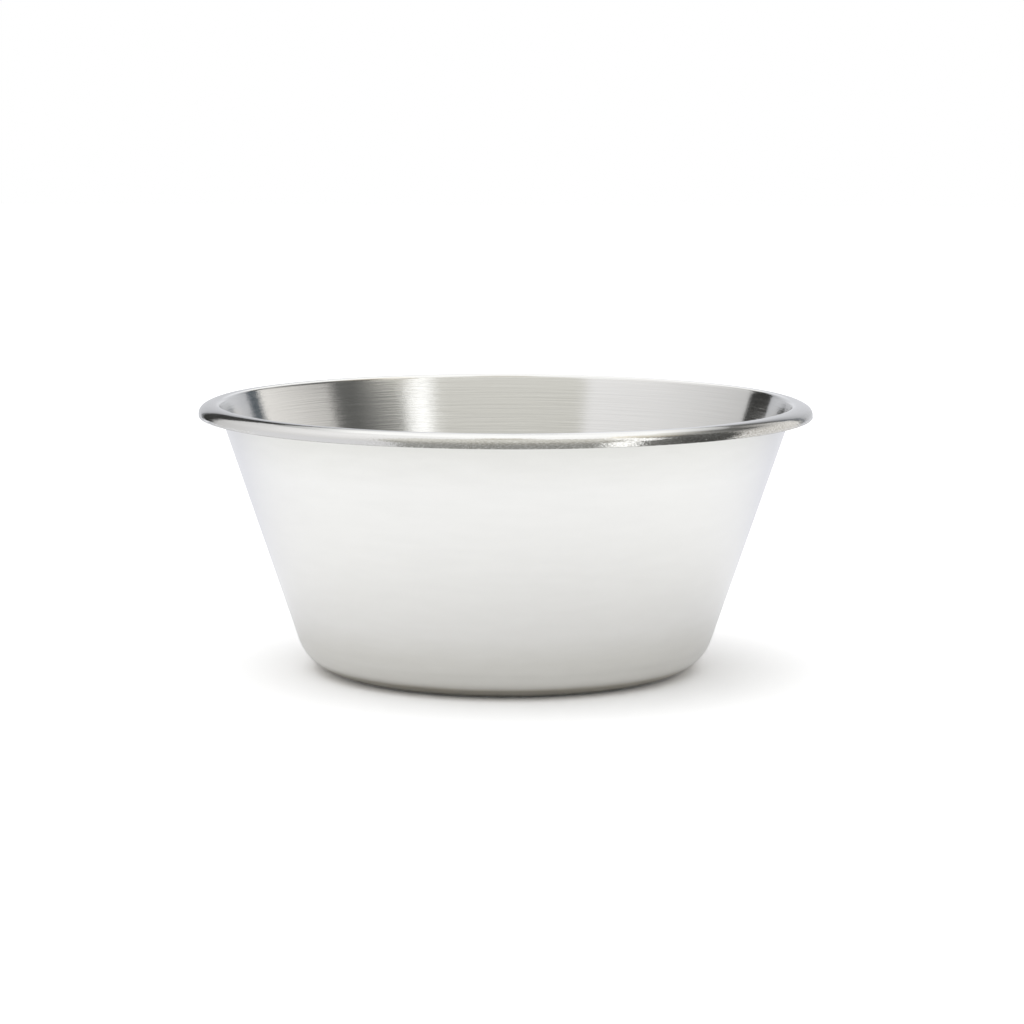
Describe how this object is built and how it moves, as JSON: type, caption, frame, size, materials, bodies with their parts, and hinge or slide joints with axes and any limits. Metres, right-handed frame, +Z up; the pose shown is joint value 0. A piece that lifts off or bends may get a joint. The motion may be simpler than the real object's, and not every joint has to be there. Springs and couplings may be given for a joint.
{
  "type": "conical basin",
  "caption": "Conical stainless-steel kitchen basin with a flat base, rounded corner, straight flaring wall and open rolled rim, pressed from one sheet.",
  "frame": {"origin": "centre of the flat underside, on the surface that the basin stands on", "axes": "+Z up along the axis that the basin is round about; X and Y are alike"},
  "size_m": [0.24, 0.24, 0.105],
  "materials": {
    "stainless_steel": "brushed round the inside, satin outside, polished on the rolled rim"
  },
  "bodies": {
    "root": {"basin_shell": "stainless_steel"}
  },
  "joints": []
}
